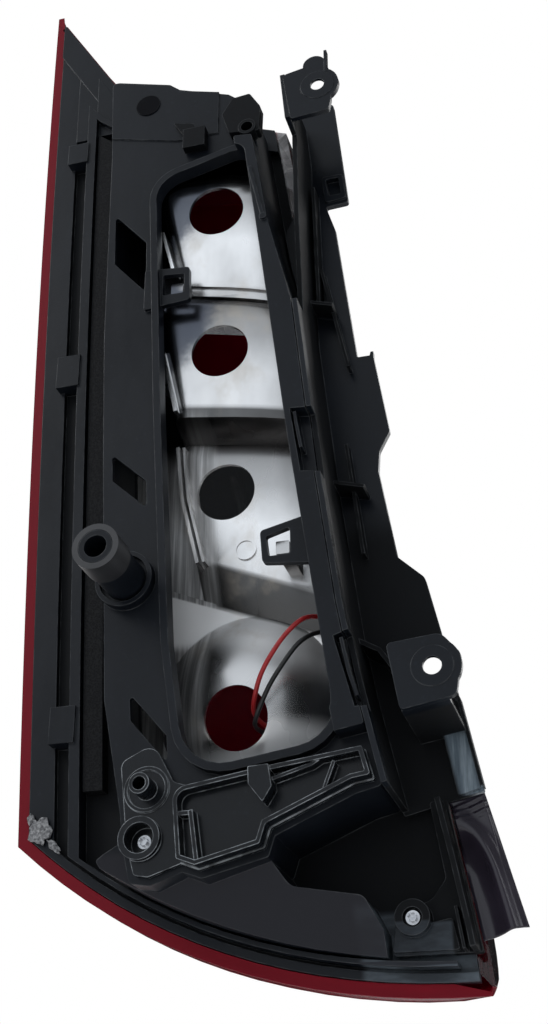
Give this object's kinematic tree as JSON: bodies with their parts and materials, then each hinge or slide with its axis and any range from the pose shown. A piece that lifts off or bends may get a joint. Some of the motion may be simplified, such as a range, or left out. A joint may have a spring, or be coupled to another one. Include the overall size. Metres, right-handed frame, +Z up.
{
  "type": "tail light cluster",
  "caption": "Tall rear lamp cluster of a vehicle, with a red and clear lens in front and the open bulb carrier side, fixing lugs and locating peg behind.",
  "frame": {"origin": "centre of the lower fixing hole, at the seating face of its lug", "axes": "+X across the lamp, to the right as seen from the body side; +Y from the body side out through the lens; +Z up the lamp"},
  "size_m": [0.2324, 0.127, 0.564],
  "materials": {
    "black_plastic": "satin moulded plastic, lightly worn",
    "rail_plastic": "satin moulded plastic",
    "bracket_plastic": "semi-gloss moulded plastic",
    "red_plastic": "clear red polished plastic",
    "clear_plastic": "clear polished plastic",
    "mirror_coat": "vacuum metallised, polished",
    "sealant": "translucent lens sealant",
    "foam": "closed-cell foam",
    "flap_rubber": "smooth moulded rubber",
    "bush_rubber": "matte rubber",
    "cap_plastic": "matt membrane cap",
    "clip_plastic": "moulded plastic",
    "screw_steel": "zinc plated",
    "wire_red": "soft insulation",
    "wire_black": "soft insulation"
  },
  "bodies": {
    "root": {"housing": "black_plastic", "side_rail": "rail_plastic", "lower_bracket": "bracket_plastic", "red_lens": "red_plastic", "clear_lens": "clear_plastic", "reflector": "mirror_coat", "sealant_bead": "sealant", "body_seal": "foam", "corner_flap": "flap_rubber", "peg_bush": "bush_rubber", "breather_cap": "cap_plastic", "top_retainer": "clip_plastic", "lead_clip": "clip_plastic", "screw_left": "screw_steel", "screw_right": "screw_steel", "red_wire": "wire_red", "black_wire": "wire_black", "wire_grommet": "clip_plastic", "wire_terminal": "clip_plastic"}
  },
  "joints": []
}
